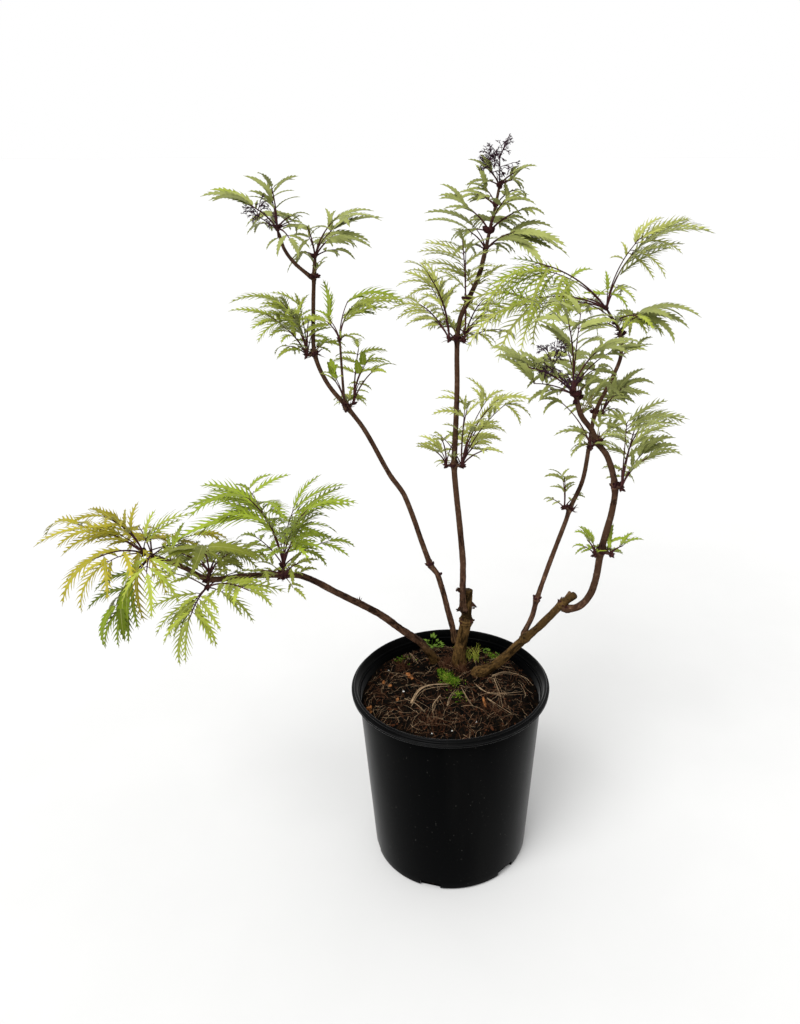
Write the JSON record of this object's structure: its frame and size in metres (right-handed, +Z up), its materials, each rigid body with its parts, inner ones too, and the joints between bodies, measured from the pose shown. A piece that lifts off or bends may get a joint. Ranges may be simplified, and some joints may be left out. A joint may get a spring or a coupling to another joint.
{
  "type": "potted elderberry shrub",
  "caption": "Young cut-leaved elderberry with slender arching woody stems and feathery green foliage, growing in a round black nursery pot that stands on its flat underside.",
  "frame": {"origin": "centre of the pot's flat underside, on the surface that it stands on", "axes": "+Z up, +X to the right and -Y towards the viewer, with the long low stem reaching towards -X"},
  "size_m": [0.6803, 0.3414, 0.7909],
  "materials": {
    "pot_plastic": "satin",
    "compost": "matte",
    "bark": "matte",
    "foliage": "matte"
  },
  "bodies": {
    "root": {"foliage_centre_low_left": "foliage", "foliage_centre_low_right": "foliage", "foliage_centre_middle_left": "foliage", "foliage_centre_middle_right": "foliage", "foliage_centre_top": "foliage", "foliage_left_inner_lower": "foliage", "foliage_left_inner_upper": "foliage", "foliage_left_middle_front": "foliage", "foliage_left_middle_upper": "foliage", "foliage_left_tip": "foliage", "foliage_rear_middle_left": "foliage", "foliage_rear_middle_right": "foliage", "foliage_rear_tip_left": "foliage", "foliage_rear_tip_right": "foliage", "foliage_rear_upper": "foliage", "foliage_right_inner_low": "foliage", "foliage_right_inner_middle": "foliage", "foliage_right_inner_top": "foliage", "foliage_right_outer_low_left": "foliage", "foliage_right_outer_low_right": "foliage", "foliage_right_outer_neck": "foliage", "foliage_right_outer_side": "foliage", "foliage_right_outer_top": "foliage", "pot": "pot_plastic", "soil": "compost", "stem_centre": "bark", "stem_left": "bark", "stem_rear": "bark", "stem_rear_arm": "bark", "stem_right_inner": "bark", "stem_right_outer": "bark", "stem_right_outer_low": "bark", "trunk_centre": "bark", "trunk_right": "bark"}
  },
  "joints": []
}
